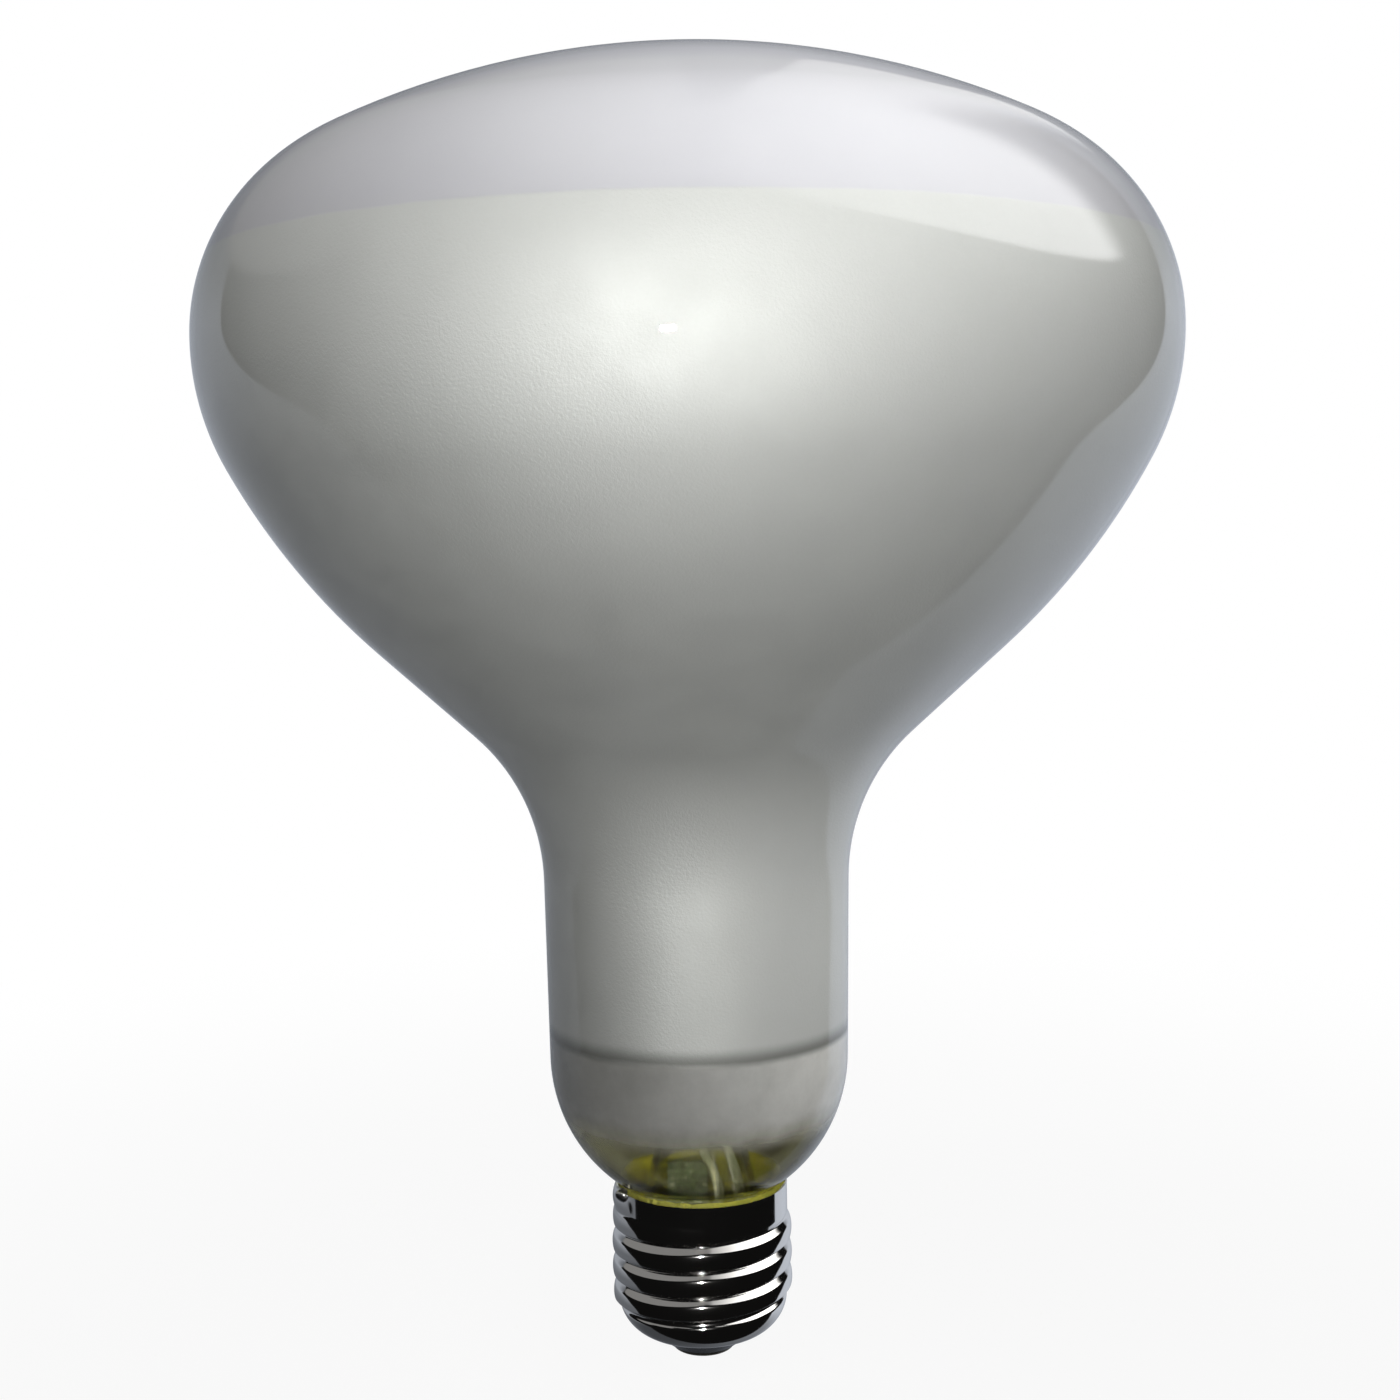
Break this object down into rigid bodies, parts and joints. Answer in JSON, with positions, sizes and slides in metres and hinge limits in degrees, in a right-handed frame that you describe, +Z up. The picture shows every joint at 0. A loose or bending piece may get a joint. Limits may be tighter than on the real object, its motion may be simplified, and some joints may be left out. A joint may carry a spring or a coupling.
{
  "type": "led reflector bulb",
  "caption": "Mushroom-head reflector lamp: blown glass envelope with a frosted front and aluminium lining, LED filaments on a glass stem, and a driver in its E27 screw cap.",
  "frame": {"origin": "middle of the centre contact's end face", "axes": "+Z up the lamp's axis from the cap to the dome, -Y towards the viewer of the picture"},
  "size_m": [0.1424, 0.1424, 0.189],
  "materials": {
    "envelope_glass": "blown glass, clear and glossy outside, frosted on the inside of the front",
    "aluminium_lining": "satin evaporated aluminium",
    "stem_glass": "clear",
    "wire": "drawn, nickel-plated",
    "sleeve": "translucent sleeving",
    "phosphor": "phosphor in silicone",
    "board": "green solder mask",
    "capacitor_sleeve": "shrink sleeve",
    "ferrite": "ferrite",
    "black_package": "moulded",
    "resistor_body": "lacquered",
    "nickel_plate": "bright nickel plate",
    "black_glass": "glossy black",
    "contact_metal": "plated",
    "solder": "bright solder",
    "cement": "baked cement"
  },
  "bodies": {
    "root": {"glass_envelope": "envelope_glass", "reflector_coating": "aluminium_lining", "glass_stem": "stem_glass", "lead_wire_live": "wire", "lead_wire_return": "wire", "lead_sleeve_live": "sleeve", "lead_sleeve_return": "sleeve", "lower_bus_live": "wire", "lower_bus_return": "wire", "upper_bus": "wire", "support_wire": "wire", "led_filament_1": "phosphor", "led_filament_2": "phosphor", "led_filament_3": "phosphor", "led_filament_4": "phosphor", "led_filament_5": "phosphor", "led_filament_6": "phosphor", "driver_board": "board", "smoothing_capacitor": "capacitor_sleeve", "choke_coil": "ferrite", "bridge_rectifier": "black_package", "driver_chip": "black_package", "chip_resistors": "black_package", "fuse_resistor": "resistor_body", "shell_lead": "wire", "cap_shell": "nickel_plate", "cap_insulator": "black_glass", "centre_contact": "contact_metal", "contact_solder": "solder", "rim_solder": "solder", "cap_cement": "cement"}
  },
  "joints": []
}
